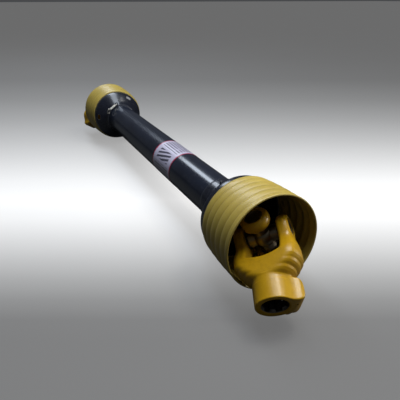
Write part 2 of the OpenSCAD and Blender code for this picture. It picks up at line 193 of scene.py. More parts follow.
def corner(dx, dy, r):
    """Distance to a quarter plane whose corner is rounded to radius r."""
    dx, dy = dx + r, dy + r
    outside = np.hypot(np.maximum(dx, 0), np.maximum(dy, 0))
    return outside + np.minimum(np.maximum(dx, dy), 0) - r


def ramp(x, x0, x1):
    """Smooth step from 0 at x0 to 1 at x1."""
    t = np.clip((x - x0) / (x1 - x0), 0.0, 1.0)
    return t * t * (3 - 2 * t)


def fork(x, y, z, r, shoulder, throat_r, throat_x):
    """Forked head: two ears on y joined by a web, with a rounded throat between them."""
    ay, az = np.abs(y), np.abs(z)
    centre = np.sqrt(x * x + r * r)
    half = ARM_HALF + (WEB_HALF - ARM_HALF) * ramp(x, *ARM_SPREAD)
    side = smin(np.hypot(x, z) - EAR_R, np.maximum(az - half, -x), 8)
    head = smax(centre - HEAD_R, ay - EAR_HALF, 3)
    turned = np.maximum(r - shoulder(x), WEB_START - x)
    body = smax(side, smin(head, turned, 4), 7)
    gap = smax(corner(x - throat_x, ay - EAR_GAP_HALF, THROAT_CORNER), centre - throat_r, 3)
    return smax(body, -gap, 5)


def bored(body, x, z):
    """The body with the seats of the bearing caps bored through both ears."""
    return smax(body, CAP_SEAT_R - np.hypot(x, z), 1.0)


# turned shoulder behind the fork, as (x, radius)
OUTER_SHOULDER = (
    (WEB_START, 41), (24, 43), (32, 45.4), (40, 46.8), (50, 47), (54.5, 46.3), (58, 44),
    (60, 42.2), (63.5, 40.6), (66, 38.4), (68.5, 35.4), (72, 33.7), (75, 30.8), (78, 26.8),
    (80.5, 25.05), (84, 25.0), (85.5, HUB_R), (130, HUB_R),
)
# the same for the inner yoke, with the groove that its bearing ring runs in
INNER_SHOULDER = (
    (WEB_START, 41), (26, 43), (36, 45), (50, 45), (56, 42), (64, 36.5), (72, 31.6), (76, 31),
    (84, 31), (84.01, 27.6), (90, 27.6), (90.01, 29.4), (130, 29.4),
)


def profile(points):
    """Radius as a function of x, straight between the points given."""
    xs, rs = np.array(points, float).T
    return lambda x: np.interp(x, xs, rs)


def pin_boss(px, py, pz):
    along = px - np.clip(px, -BOSS_BACK, 0)
    around = np.hypot(along, py - np.clip(py, 0, BOSS_REACH)) - BOSS_R
    outline = corner(py - BOSS_REACH - BOSS_R, np.abs(pz) - BOSS_HALF, 8)
    return smax(around, outline, 2.5)


def without_pin_holes(body, px, py, pz):
    """Cuts the pin's bore, its button pocket and the stop pin's hole."""
    bore_r, bore_end = 6.55, 16
    pocket_r, pocket_floor = 9.3, -8.5
    stop_r, stop_y, stop_z, stop_start = 1.55, 5.7, 5.5, -11
    pin = np.hypot(px, py)
    body = np.maximum(body, -np.maximum(pin - bore_r, pz - bore_end))
    body = smax(body, -np.maximum(pin - pocket_r, pz - pocket_floor), 0.8)
    stop = np.maximum(np.hypot(py - stop_y, pz - stop_z) - stop_r, stop_start - px)
    return np.maximum(body, -stop)


def splined_bore(x, y, z, r):
    """Bore whose slots are spaced evenly from -z."""
    sector = 2 * math.pi / SPLINES
    angle = np.arctan2(y, -z)
    angle = np.mod(angle + sector / 2, sector) - sector / 2
    slot = np.maximum(np.abs(r * np.sin(angle)) - SPLINE_W / 2, r - SPLINE_MAJOR_R)
    bore = smin(r - SPLINE_MINOR_R, slot, 0.4)
    return np.maximum(bore, SPLINE_START - x)


def outer_yoke(x, y, z):
    r = np.hypot(y, z)
    body = fork(x, y, z, r, profile(OUTER_SHOULDER), throat_r=54, throat_x=53)
    body = smin(body, np.maximum(r - HUB_R, HUB_START - x), 2)
    body = bored(body, x, z)
    # the push pin's own frame: centred on the pin, with pz along it
    c, s = math.cos(-BOSS_TURN), math.sin(-BOSS_TURN)
    px, py, pz = x - PIN_X, y * c - z * s - PIN_OFF, y * s + z * c
    body = smin(body, pin_boss(px, py, pz), 6)
    body = smax(body, x - HUB_REACH, 1.6)
    body = smax(body, -splined_bore(x, y, z, r), 0.6)
    lead = (r - SPLINE_MAJOR_R - (x - HUB_REACH + LEAD_IN)) * math.sqrt(0.5)
    body = smax(body, -lead, 0.5)
    return without_pin_holes(body, px, py, pz)


def inner_yoke(x, y, z):
    r = np.hypot(y, z)
    shoulder = profile(INNER_SHOULDER)
    body = fork(x, y, z, r, shoulder, throat_r=50, throat_x=49.5)
    body = smin(body, np.maximum(r - shoulder(x), NECK_START - x), 2)
    body = bored(body, x, z)
    body = smax(body, x - NECK_REACH, 1.5)
    socket = r - SOCKET_R
    for i in range(LOBES):
        a = 2 * math.pi * i / LOBES
        lobe = np.hypot(-z - LOBE_OFF * math.cos(a), y - LOBE_OFF * math.sin(a)) - LOBE_R
        socket = np.maximum(socket, lobe)
    body = np.maximum(body, -np.maximum(socket, SOCKET_START - x))
    return np.maximum(body, ROLL_PIN_R - np.hypot(x - ROLL_PIN_X, y))


def eye_lug(x, y, z):
    """Tongue and upright eye plate, in the guard's frame turned so that the eye is on +z."""
    plate_half, plate_r, hole_r = 0.9, 4.1, 2.3
    tongue_r, tongue_half, tongue_start, tongue_t = 39.2, 3.0, 97, 0.7
    u, v = y, z - EYE_R
    ring = np.hypot(u, v) - plate_r
    stem = np.maximum(np.maximum(np.abs(u) - tongue_half, v), tongue_r - z)
    plate = smax(np.minimum(ring, stem), np.abs(x - EYE_X) - plate_half, 0.5)
    tongue = np.maximum(np.abs(u) - tongue_half, np.abs(z - tongue_r - tongue_t) - tongue_t)
    tongue = smax(tongue, np.maximum(tongue_start - x, x - EYE_X - plate_half), 0.5)
    return smax(smin(plate, tongue, 0.8), hole_r - np.hypot(u, v), 0.5)


# ---- surface nets over a distance field ----
def sample(field, lo, hi, step):
    """Samples the field on a fine grid, evaluating it only near the surface."""
    block = 4
    coarse = step * block
    counts = [int(math.ceil((b - a) / coarse)) for a, b in zip(lo, hi)]
    axes = [a + coarse * (np.arange(n) + 0.5) for a, n in zip(lo, counts)]
    rough = field(*np.meshgrid(*axes, indexing="ij"))
    values = rough.astype(np.float32)
    for axis in range(3):
        values = np.repeat(values, block, axis)
    near = np.abs(values) < 1.6 * coarse
    index = np.argwhere(near)
    points = np.array(lo) + step * (index + 0.5)
    values[near] = field(*points.T)
    return values, np.array(lo) + 0.5 * step


def surface_net(values, start, step):
    """One point in each grid cell that the surface crosses, joined by quads that face outwards."""
    inside = values < 0
    counts = np.array(values.shape) - 1
    total = np.zeros(counts, np.int8)
    corners = [(i, j, k) for i in (0, 1) for j in (0, 1) for k in (0, 1)]
    for i, j, k in corners:
        total += inside[i:i + counts[0], j:j + counts[1], k:k + counts[2]]
    active = (total > 0) & (total < 8)
    cells = np.argwhere(active)
    ids = np.full(counts, -1, np.int64)
    ids[active] = np.arange(len(cells))
    summed, hits = np.zeros((len(cells), 3)), np.zeros(len(cells))
    for a in corners:
        for axis in range(3):
            if a[axis]:
                continue
            b = list(a)
            b[axis] = 1
            fa, fb = values[tuple((cells + a).T)], values[tuple((cells + b).T)]
            cross = (fa < 0) != (fb < 0)
            t = np.where(cross, fa / np.where(cross, fa - fb, 1), 0)
            spot = np.repeat([a], len(cells), 0).astype(float)
            spot[:, axis] = t
            summed += spot * cross[:, None]
            hits += cross
    points = start + step * (cells + summed / hits[:, None])
    quads = []
    for axis in range(3):
        b, c = np.eye(3, dtype=int)[(axis + 1) % 3], np.eye(3, dtype=int)[(axis + 2) % 3]
        first = np.moveaxis(inside, axis, 0)[:-1]
        second = np.moveaxis(inside, axis, 0)[1:]
        for out, flip in ((first & ~second, False), (~first & second, True)):
            edge = np.argwhere(np.moveaxis(out, 0, axis))
            ring = [ids[tuple((edge - d).T)] for d in (0 * b, b, b + c, c)]
            quad = np.stack(ring[::-1] if flip else ring, 1)
            quads.append(quad)
    return points, np.concatenate(quads)


def gradient(field, points, reach):
    """Slope of the field at the points, from samples that far to each side."""
    out = np.empty_like(points)
    for axis in range(3):
        shift = np.zeros(3)
        shift[axis] = reach
        out[:, axis] = (field(*(points + shift).T) - field(*(points - shift).T)) / (2 * reach)
    return out


def field_mesh(name, field, lo, hi, step):
    """Mesh of a field's surface in metres, its points pulled onto it and shaded by its slope."""
    values, start = sample(field, lo, hi, step)
    points, quads = surface_net(values, start, step)
    for _ in range(3):
        slope = gradient(field, points, 0.05)
        steepness = np.maximum((slope ** 2).sum(1), 0.05)[:, None]
        move = -field(*points.T)[:, None] * slope / steepness
        length = np.linalg.norm(move, axis=1)[:, None]
        points = points + move * np.minimum(1, 0.5 * step / np.maximum(length, 1e-9))
    mesh = build_mesh(name, points * MM, quads)
    normals = gradient(field, points, 0.4)
    normals /= np.maximum(np.linalg.norm(normals, axis=1), 1e-9)[:, None]
    mesh.normals_split_custom_set_from_vertices(normals)
    return mesh


def build_mesh(name, points, quads):
    mesh = bpy.data.meshes.new(name)
    mesh.vertices.add(len(points))
    mesh.vertices.foreach_set("co", np.asarray(points, np.float32).ravel())
    mesh.loops.add(quads.size)
    mesh.loops.foreach_set("vertex_index", quads.astype(np.int32).ravel())
    mesh.polygons.add(len(quads))
    mesh.polygons.foreach_set("loop_start", np.arange(0, quads.size, 4, dtype=np.int32))
    mesh.polygons.foreach_set("loop_total", np.full(len(quads), 4, np.int32))
    mesh.update(calc_edges=True)
    mesh.validate()
    mesh.polygons.foreach_set("use_smooth", np.ones(len(mesh.polygons), bool))
    return mesh


# ---- pieces ----
def placed(mesh, place):
    """Copy of a mesh moved into the row frame, which keeps its own frame's points as "local"."""
    points = np.empty(3 * len(mesh.vertices), np.float32)
    mesh.vertices.foreach_get("co", points)
    copy = mesh.copy()
    copy.attributes.new("local", "FLOAT_VECTOR", "POINT").data.foreach_set("vector", points)
    copy.transform(place)
    return copy


def piece(name, mesh, body, slot_name, nodes):
    """Adds a mesh as a piece that rides on a body, in place of the CAD nodes named."""
    obj = bpy.data.objects.new(name, mesh)
    bpy.context.scene.collection.objects.link(obj)
    if not mesh.materials:
        mesh.materials.append(FINISHES[slot_name])
    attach(obj, body)
    if nodes:
        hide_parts(*nodes)
    return obj


def chaikin(points, rounds):
    """Rounds an open outline by cutting its corners; both ends stay."""
    for _ in range(rounds):
        cut = [points[0]]
        for (x0, r0), (x1, r1) in zip(points, points[1:]):
            cut.append((0.75 * x0 + 0.25 * x1, 0.75 * r0 + 0.25 * r1))
            cut.append((0.25 * x0 + 0.75 * x1, 0.25 * r0 + 0.75 * r1))
        cut.append(points[-1])
        points = cut
    return points


def revolve(name, end, loop, segments, window=None, sharp=35):
    """Turns a closed outline of (x, r) points about the shaft's axis, with windows cut through.

    window is (outer range, inner range, first segments, width in segments)."""
    count = len(loop)
    verts = []
    for x, r in loop:
        for j in range(segments):
            a = 2 * math.pi * j / segments
            verts.append(guard_point(end, x, r * math.cos(a), r * math.sin(a)))
    open_cells = set()
    faces = []

    def at(i, j):
        return (i % count) * segments + j % segments

    if window:
        (a, b), (c, d), starts, width = window
        for s in starts:
            for j in range(s, s + width):
                open_cells |= {(i, j % segments) for i in (*range(a, b), *range(c, d))}
                faces.append((at(a, j), at(a, j + 1), at(d, j + 1), at(d, j)))
                faces.append((at(b, j), at(b, j + 1), at(c, j + 1), at(c, j)))
            for j in (s, s + width):
                for t in range(b - a):
                    faces.append((at(a + t, j), at(a + t + 1, j), at(d - t - 1, j), at(d - t, j)))
    for i in range(count):
        for j in range(segments):
            if (i, j) not in open_cells:
                faces.append((at(i, j), at(i, j + 1), at(i + 1, j + 1), at(i + 1, j)))
    mesh = bpy.data.meshes.new(name)
    mesh.from_pydata(verts, [], faces)
    clean(mesh, sharp)
    return mesh


def clean(mesh, sharp):
    """Welds, turns every face outwards, and marks edges sharper than the angle given."""
    form = bmesh.new()
    form.from_mesh(mesh)
    bmesh.ops.remove_doubles(form, verts=form.verts, dist=1e-7)
    bmesh.ops.recalc_face_normals(form, faces=form.faces)
    limit = math.radians(sharp)
    for edge in form.edges:
        edge.smooth = len(edge.link_faces) == 2 and edge.calc_face_angle(0) < limit
    for face in form.faces:
        face.smooth = True
    form.to_mesh(mesh)
    form.free()


# the bell from mouth to base, as (x, radius): under its ribs, and the room inside it
BELL_TAPER = (
    (BELL_MOUTH, BELL_R), (-19, 73.6), (-14, 71.3), (8, 70.4), (26, 69.4), (44, 68.2),
    (BELL_BASE, 66.6),
)
BELL_ROOM = (
    (BELL_MOUTH, 72), (-18, 71.4), (-12, 70.4), (8, 69.4), (26, 68.6), (44, 67.6), (BELL_BASE, 66),
)


def bell_outline():
    """Closed outline of the ribbed bell: mouth lip, ribs, base flange and the inside."""
    base, room = profile(BELL_TAPER), profile(BELL_ROOM)
    ribs, rib_r, pitch, first = 5, 15.5, 15.6, -8.5
    drop, shrink = 0.5, 0.2
    lip, thin, flange_t = 1.5, 1.1, 3

    def outer(x):
        r = base(x)
        for i in range(ribs):
            centre = BELL_R - rib_r - drop - shrink * i * i
            reach = rib_r ** 2 - (x - pitch * i - first) ** 2
            rib = centre + math.sqrt(max(reach, 0))
            r = float(smax(r, rib, 0.7))
        return r

    def inner(x):
        r = outer(x)
        return max(r - BELL_WALL, min(float(room(x)), r - thin))

    turns = [math.radians(a) for a in range(-80, 100, 20)]
    edge = [
        (BELL_MOUTH + lip - lip * math.cos(a), BELL_R - lip + lip * math.sin(a)) for a in turns
    ]
    xs = np.linspace(BELL_MOUTH + 2.4, BELL_BASE, 100)
    out = [(x, outer(x)) for x in xs]
    out[-1] = (BELL_BASE, out[-2][1] - 0.6)
    back = [(x, inner(x)) for x in xs[:-4][::-1] if x < BELL_BASE - flange_t - 0.2]
    flange = [(BELL_BASE, DISH_R + 0.05), (BELL_BASE - flange_t, DISH_R + 0.05)]
    return edge + out + flange + back


# the dish from its rim to its neck, and back inside to its spigot, as (x, radius)
DISH_OUTSIDE = (
    (DISH_RIM, 64.9), (63.8, 65.8), (72, 65.5), (75.5, 64.8), (78.5, 63.4), (81, 61.2), (84, 58.2),
    (87, 55), (90, 51.6), (93, 48.2), (96, 44.6), (99, 41.7), (102, 39.9),
    (105, 39.1), (DISH_END, 39),
)
DISH_INSIDE = (
    (97, 39.6), (95, 42.4), (91.2, 46.7), (88, 50.4), (85.3, 53.6), (82.3, 57), (79.3, 60),
    (77.2, 61.6), (74, SPIGOT_R), (SPIGOT_X, SPIGOT_R),
)


def dish(end):
    """Dish with its spigot in the bell, the seat of its bearing ring and three windows."""
    segments, windows, width = 180, (25, 85, 145), 7
    seat_x, seat_r, seat_lip, neck_x = 82.5, 36.05, 38.5, 93
    stop_x, stop_r = 90.05, 30.2
    window_top_r, window_foot_r, window_inner_r = 60.6, 55.2, 54.6
    neck_r = TUBE_R[end] + FIT
    outside = chaikin(DISH_OUTSIDE, 2)
    inside = chaikin(DISH_INSIDE, 2)
    spigot = [(SPIGOT_X, SPIGOT_R), (SPIGOT_X, DISH_R), (DISH_RIM, DISH_R)]
    neck = [(DISH_END, neck_r), (neck_x, neck_r), (neck_x, stop_r), (stop_x, stop_r)]
    seat = [(stop_x, seat_r), (seat_x, seat_r), (seat_x, seat_lip), (neck_x - 0.5, seat_lip)]
    outer_side = spigot + outside
    before_inside = outer_side + neck + seat
    loop = before_inside + inside[:-1]

    def nearest(r, first, last):
        return min(range(first, last), key=lambda i: abs(loop[i][1] - r))

    split = len(outer_side)
    a = nearest(window_top_r, len(spigot), split)
    c = nearest(window_inner_r, len(before_inside), len(loop))
    steps = nearest(window_foot_r, len(spigot), split) - a
    window = ((a, a + steps), (c, c + steps), windows, width)
    return revolve(end + "_dish_shell", end, loop, segments, window, 28)


def ring_outline(x0, x1, r_in, r_out, edge, step):
    """Closed outline of a plain ring: softened outer edges, and extra rings along its length."""
    nib = 0.3 * edge
    count = max(int((x1 - x0) / step), 1)
    between = [x0 + edge + (x1 - x0 - 2 * edge) * i / count for i in range(1, count)]
    first = [(x0, r_in), (x0, r_out - edge), (x0 + nib, r_out - nib), (x0 + edge, r_out)]
    last = [(x1 - edge, r_out), (x1 - nib, r_out - nib), (x1, r_out - edge), (x1, r_in)]
    return first + [(x, r_out) for x in between] + last


# ---- materials ----
class Finish:
    """Builds one node material around a Principled shader, in object space.

    noise, ramp, span, math, mix, edges and bump add nodes and return their result's socket."""

    def __init__(self, name):
        self.mat = bpy.data.materials.new(name)
        self.mat.use_nodes = True
        self.tree = self.mat.node_tree
        self.shader = self.tree.nodes["Principled BSDF"]
        self.place = self.tree.nodes.new("ShaderNodeTexCoord").outputs["Object"]

    def new(self, kind, **props):
        node = self.tree.nodes.new(kind)
        for key, value in props.items():
            setattr(node, key, value)
        return node

    def link(self, a, b):
        self.tree.links.new(a, b)

    def set(self, name, value):
        self.shader.inputs[name].default_value = value
        return self

    def scaled(self, scale):
        node = self.new("ShaderNodeMapping")
        node.inputs["Scale"].default_value = scale
        self.link(self.place, node.inputs["Vector"])
        return node.outputs["Vector"]

    def noise(self, scale, detail=4, rough=0.55, stretch=None):
        """Noise from 0 to 1, finer along an axis where stretch is larger."""
        node = self.new("ShaderNodeTexNoise")
        node.inputs["Scale"].default_value = scale
        node.inputs["Detail"].default_value = detail
        node.inputs["Roughness"].default_value = rough
        self.link(self.scaled(stretch) if stretch else self.place, node.inputs["Vector"])
        return node.outputs["Fac"]

    def ramp(self, source, stops, colour=True):
        """Colours, or brightnesses when colour is off, at their places along the source."""
        node = self.new("ShaderNodeValToRGB")
        points = node.color_ramp.elements
        while len(points) < len(stops):
            points.new(0.5)
        for point, (at, value) in zip(points, stops):
            point.position = at
            point.color = (*value, 1) if colour else (value, value, value, 1)
        self.link(source, node.inputs["Fac"])
        return node.outputs["Color"]

    def span(self, source, low, high, from_low=0.0, from_high=1.0):
        """The source's stretch from_low to from_high, carried onto low to high."""
        node = self.new("ShaderNodeMapRange")
        limits = {"From Min": from_low, "From Max": from_high, "To Min": low, "To Max": high}
        for key, value in limits.items():
            node.inputs[key].default_value = value
        self.link(source, node.inputs["Value"])
        return node.outputs["Result"]

    def math(self, operation, a, b=0):
        node = self.new("ShaderNodeMath", operation=operation)
        for socket, value in zip(node.inputs, (a, b)):
            if isinstance(value, (int, float)):
                socket.default_value = value
            else:
                self.link(value, socket)
        return node.outputs["Value"]

    def mix(self, fac, a, b, blend="MIX"):
        node = self.new("ShaderNodeMix", data_type="RGBA", blend_type=blend)
        # the node has a set of sockets for each data type; these are the colour's
        factor, first, second = (node.inputs[i] for i in (0, 6, 7))
        for socket, value in zip((factor, first, second), (fac, a, b)):
            if isinstance(value, tuple):
                socket.default_value = (*value, 1)
            elif isinstance(value, (int, float)):
                socket.default_value = value
            else:
                self.link(value, socket)
        return node.outputs[2]

    def edges(self, low, high):
        """0 to 1 as the pointiness goes from low to high; low above high picks the valleys."""
        geometry = self.new("ShaderNodeNewGeometry")
        return self.span(geometry.outputs["Pointiness"], 0, 1, low, high)

    def bump(self, height, strength, distance, under=None):
        """Bump of the shader's normal, laid over the bump under it if one is given."""
        node = self.new("ShaderNodeBump")
        node.inputs["Strength"].default_value = strength
        node.inputs["Distance"].default_value = distance
        self.link(height, node.inputs["Height"])
        if under is not None:
            self.link(under, node.inputs["Normal"])
        self.link(node.outputs["Normal"], self.shader.inputs["Normal"])
        return node.outputs["Normal"]

    def colour(self, source):
        self.link(source, self.shader.inputs["Base Color"])

    def rough(self, source):
        self.link(source, self.shader.inputs["Roughness"])


def bore_mask(f):
    """1 on the unpainted wall of the splined bore, 0 on the painted casting."""
    wall_r, paint_r, bore_start = 17.9, 18.4, 46
    local = f.new("ShaderNodeAttribute", attribute_name="local")
    split = f.new("ShaderNodeSeparateXYZ")
    f.link(local.outputs["Vector"], split.inputs["Vector"])
    x, y, z = (split.outputs[i] for i in range(3))
    across = f.math("SQRT", f.math("ADD", f.math("MULTIPLY", y, y), f.math("MULTIPLY", z, z)))
    inside = f.span(across, 1, 0, wall_r * MM, paint_r * MM)
    return f.math("MULTIPLY", inside, f.math("GREATER_THAN", x, bore_start * MM))


def yoke_paint():
    """Ochre paint over forged steel: dirty in patches, worn on edges, bare in the bore."""
    f = Finish("yoke_paint")
    tone = f.ramp(f.noise(28, 3), [(0.3, (0.37, 0.205, 0.003)), (0.7, (0.47, 0.270, 0.005))])
    grime = f.span(f.noise(60, 8, 0.7), 0, 0.5, 0.50, 0.78)
    tone = f.mix(grime, tone, (0.12, 0.06, 0.006))
    worn = f.math("MULTIPLY", f.edges(0.53, 0.60), f.span(f.noise(220, 5), 0, 0.6, 0.45, 0.62))
    tone = f.mix(worn, tone, (0.66, 0.50, 0.16))
    bare = bore_mask(f)
    oiled = f.ramp(f.noise(160, 5), [(0.35, (0.05, 0.045, 0.04)), (0.7, (0.20, 0.19, 0.17))])
    f.colour(f.mix(bare, tone, oiled))
    f.link(f.math("MULTIPLY", bare, 0.9), f.shader.inputs["Metallic"])
    f.rough(f.span(f.noise(140, 6), 0.28, 0.46))
    soft = f.bump(f.noise(130, 3), 0.25, 0.0012)
    f.bump(f.noise(900, 3), 0.10, 0.0004, soft)
    f.set("Coat Weight", 0.14).set("Coat Roughness", 0.16).set("Specular IOR Level", 0.30)
    return f.mat


def bell_plastic():
    """Yellow plastic with scuffs, painted shade in the valleys between the ribs, and rubbed
    crests.
    """
    f = Finish("bell_plastic")
    tone = f.ramp(f.noise(16, 3), [(0.3, (0.34, 0.25, 0.045)), (0.7, (0.42, 0.315, 0.062))])
    scuff = f.span(f.noise(90, 8, 0.7, (1, 3, 3)), 0, 0.4, 0.56, 0.8)
    tone = f.mix(scuff, tone, (0.18, 0.12, 0.022))
    # painted shade: the valleys between the ribs are darkened towards a near-black brown, standing
    # for the shade that falls in them
    valley_shade = f.math("MULTIPLY", f.edges(0.492, 0.455), 0.75)
    tone = f.mix(valley_shade, tone, (0.09, 0.06, 0.012))
    rubbed = f.math("MULTIPLY", f.edges(0.51, 0.56), 0.35)
    f.colour(f.mix(rubbed, tone, (0.62, 0.50, 0.18)))
    f.rough(f.span(f.noise(70, 5), 0.34, 0.52))
    f.bump(f.noise(1400, 3), 0.09, 0.0003)
    f.set("Subsurface Weight", 0.06).set("Subsurface Radius", (0.006, 0.004, 0.001))
    f.set("Coat Weight", 0.12).set("Coat Roughness", 0.3)
    return f.mat


def black_plastic(name, base, low, high, stretch):
    """Glossy black plastic with dust; low and high are the limits of its roughness."""
    f = Finish(name)
    tone = f.ramp(f.noise(20, 4), [(0.3, base), (0.75, tuple(c * 1.7 for c in base))])
    dust = f.span(f.noise(160, 8, 0.7), 0, 0.10, 0.55, 0.8)
    rubbed = f.math("MULTIPLY", f.edges(0.52, 0.58), 0.25)
    tone = f.mix(dust, tone, (0.22, 0.22, 0.24))
    f.colour(f.mix(rubbed, tone, (0.20, 0.21, 0.25)))
    f.rough(f.span(f.noise(50, 6, 0.6, stretch), low, high))
    f.bump(f.noise(700, 3, 0.5, stretch), 0.07, 0.0003)
    f.set("Coat Weight", 0.35).set("Coat Roughness", 0.1).set("Coat Tint", (0.80, 0.88, 1.0, 1))
    return f.mat


def steel(name, tone, low, high, grain=(1, 1, 1)):
    """Bare metal with grain and an oily film; low and high are the limits of its roughness."""
    f = Finish(name)
    light = tuple(min(1, c * 1.15) for c in tone)
    dark = tuple(c * 0.72 for c in tone)
    colour = f.ramp(f.noise(90, 6, 0.6, grain), [(0.3, dark), (0.7, light)])
    film = f.span(f.noise(240, 6), 0, 0.25, 0.55, 0.85)
    f.colour(f.mix(film, colour, (0.10, 0.08, 0.06)))
    f.rough(f.span(f.noise(300, 5, 0.6, grain), low, high))
    f.bump(f.noise(1100, 4, 0.6, grain), 0.08, 0.0002)
    f.set("Metallic", 1.0)
    return f.mat


def plain_matt(name, tone, rough, bump_scale):
    f = Finish(name)
    colour = f.ramp(f.noise(60, 5), [(0.3, tuple(c * 0.85 for c in tone)), (0.7, tone)])
    f.colour(colour)
    f.rough(f.span(f.noise(120, 4), rough - 0.08, rough + 0.08))
    f.bump(f.noise(bump_scale, 3), 0.1, 0.0002)
    return f.mat


def label_film():
    """Pale film with crimson borders, and rows of plain dashes and bars around the tube."""
    f = Finish("label_film")
    repeats, border = 3, 0.465
    low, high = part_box("guard_label")
    split = f.new("ShaderNodeSeparateXYZ")
    f.link(f.place, split.inputs["Vector"])
    x, y, z = (split.outputs[i] for i in range(3))
    along = f.span(x, 0, 1, low.x, high.x)
    middle = (low + high) / 2
    angle = f.math("ARCTAN2", f.math("SUBTRACT", z, middle.z), f.math("SUBTRACT", y, middle.y))
    turn = f.math("MULTIPLY", angle, repeats / (2 * math.pi))
    turn = f.math("FRACT", f.math("ADD", turn, 2.0))

    def near(value, centre, half):
        off = f.math("ABSOLUTE", f.math("SUBTRACT", value, centre))
        return f.math("LESS_THAN", off, half)

    def both(a, b):
        return f.math("MULTIPLY", a, b)

    # rows of plain dashes, and beside them a block of slanted bars
    row = f.math("LESS_THAN", f.math("FRACT", f.math("MULTIPLY", turn, 13)), 0.46)
    broken = f.math("GREATER_THAN", f.noise(1, 2, 0.6, (160, 40, 40)), 0.40)
    rows = both(both(row, broken), both(near(turn, 0.68, 0.27), near(along, 0.5, 0.38)))
    slant = f.math("ADD", f.math("MULTIPLY", turn, 9), f.math("MULTIPLY", along, 3))
    bars = f.math("LESS_THAN", f.math("FRACT", slant), 0.55)
    bars = both(bars, both(near(turn, 0.18, 0.15), near(along, 0.5, 0.30)))
    marks = f.math("MAXIMUM", rows, bars)
    paper = f.mix(f.noise(70, 4), (0.40, 0.38, 0.50), (0.52, 0.50, 0.62))
    tone = f.mix(f.math("MULTIPLY", marks, 0.92), paper, (0.03, 0.028, 0.05))
    edge = f.math("ABSOLUTE", f.math("SUBTRACT", along, 0.5))
    edge = f.math("GREATER_THAN", edge, border)
    f.colour(f.mix(edge, tone, (0.32, 0.012, 0.05)))
    f.rough(f.span(f.noise(90, 4), 0.22, 0.38))
    f.bump(f.noise(500, 3), 0.05, 0.0002)
    f.set("Coat Weight", 0.4)
    return f.mat


# one finish for each material slot of the record
FINISHES = {
    "yoke_paint": yoke_paint(),
    "bell_plastic": bell_plastic(),
    "guard_plastic": black_plastic("guard_plastic", (0.006, 0.007, 0.012), 0.20, 0.36, (1, 1, 1)),
    "tube_plastic": black_plastic("tube_plastic", (0.006, 0.008, 0.015), 0.18, 0.30, (0.04, 1, 1)),
    "nylon": plain_matt("nylon", (0.72, 0.71, 0.64), 0.5, 500),
    "ground_steel": steel("ground_steel", (0.24, 0.20, 0.14), 0.24, 0.44),
    "tube_steel": steel("tube_steel", (0.34, 0.34, 0.34), 0.3, 0.5, (0.05, 1, 1)),
    "spring_steel": steel("spring_steel", (0.30, 0.30, 0.31), 0.3, 0.5),
    "zinc": steel("zinc", (0.34, 0.33, 0.30), 0.26, 0.44),
    "seal_rubber": plain_matt("seal_rubber", (0.02, 0.02, 0.022), 0.6, 700),
    "label_film": label_film(),
}


def dress_cad_nodes():
    """Gives every carried-over CAD node the material of its slot in the record."""
    for row in record["subparts"]:
        obj = frame["nodes"][row["node"]]
        material = FINISHES[row["material_slot"]]
        if obj.material_slots:
            for place in obj.material_slots:
                place.material = material
        else:
            obj.data.materials.append(material)


def build_yokes():
    step = 0.7
    back, reach = -23, 50.5
    low, outer_high, inner_high = (back, -reach, -reach), (115, reach, reach), (120, reach, reach)
    outer = field_mesh("outer_yoke_form", outer_yoke, low, outer_high, step)
    inner = field_mesh("inner_yoke_form", inner_yoke, low, inner_high, 1.3 * step)
    for end in ENDS:
        piece(end + "_forged_yoke", placed(outer, fork_frame(end)), end + "_fork", "yoke_paint",
              [end + "_outer_yoke"])
        piece(end + "_tube_yoke", placed(inner, inner_frame(end)), end + "_half", "yoke_paint",
              [end + "_inner_yoke"])


def coil_mesh():
    """Spring of the push pin, in the fork's frame, wound about the pin."""
    turns, mean_r, wire_r = 3.5, 7.6, 0.65
    steps, sides = 140, 10
    c, s = math.cos(BOSS_TURN), math.sin(BOSS_TURN)
    verts = []
    for i in range(steps + 1):
        a = 2 * math.pi * turns * i / steps
        for j in range(sides):
            b = 2 * math.pi * j / sides
            r = mean_r + wire_r * math.cos(b)
            y = PIN_OFF + r * math.sin(a)
            z = SPRING_Z0 + (SPRING_Z1 - SPRING_Z0) * i / steps + wire_r * math.sin(b)
            x = PIN_X + r * math.cos(a)
            verts.append((MM * x, MM * (y * c - z * s), MM * (y * s + z * c)))
    faces = [tuple(range(sides)), tuple(range(steps * sides, (steps + 1) * sides))]
    for i in range(steps):
        for j in range(sides):
            a, b = i * sides + j, i * sides + (j + 1) % sides
            faces.append((a, b, b + sides, a + sides))
    mesh = bpy.data.meshes.new("coil_form")
    mesh.from_pydata(verts, [], faces)
    clean(mesh, 60)
    return mesh


def build_springs():
    """Puts a coil spring about each fork's push pin, each on its own copy of the mesh."""
    coil = coil_mesh()
    for end in ENDS:
        place = fork_frame(end)
        spring = piece(end + "_coil_spring", placed(coil, place), end + "_fork", "spring_steel",
                       [end + "_pin_spring"])
        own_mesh(spring)


def build_guard():
    lug_low, lug_high = (96, -6, 38), (112, 6, 48)
    lug = field_mesh("eye_lug_form", eye_lug, lug_low, lug_high, 0.3)
    bell = bell_outline()
    # the lug's frame: x towards the shaft's middle, z through the eye
    out = Vector((0, math.cos(EYE_TURN), math.sin(EYE_TURN)))
    for end in ENDS:
        body = end + "_guard"
        piece(end + "_ribbed_bell", revolve(end + "_bell_shell", end, bell, 180), body,
              "bell_plastic", [end + "_guard_bell"])
        piece(end + "_base_dish", dish(end), body, "guard_plastic", [end + "_guard_dish"])
        x_dir = Vector((INWARD[end], 0, 0))
        lug_frame = frame_at(JOINTS[end + "_cross_swing"]["pos_m"], x_dir, out.cross(x_dir))
        piece(end + "_eye_lug", placed(lug, lug_frame), body, "guard_plastic", [])
        collar = ring_outline(COLLAR_START, COLLAR_END[end], TUBE_R[end] + FIT, COLLAR_R,
                              edge=0.9, step=6)
        piece(end + "_collar_sleeve", revolve(end + "_collar_shell", end, collar, 144), body,
              "guard_plastic", [end + "_lock_collar"])


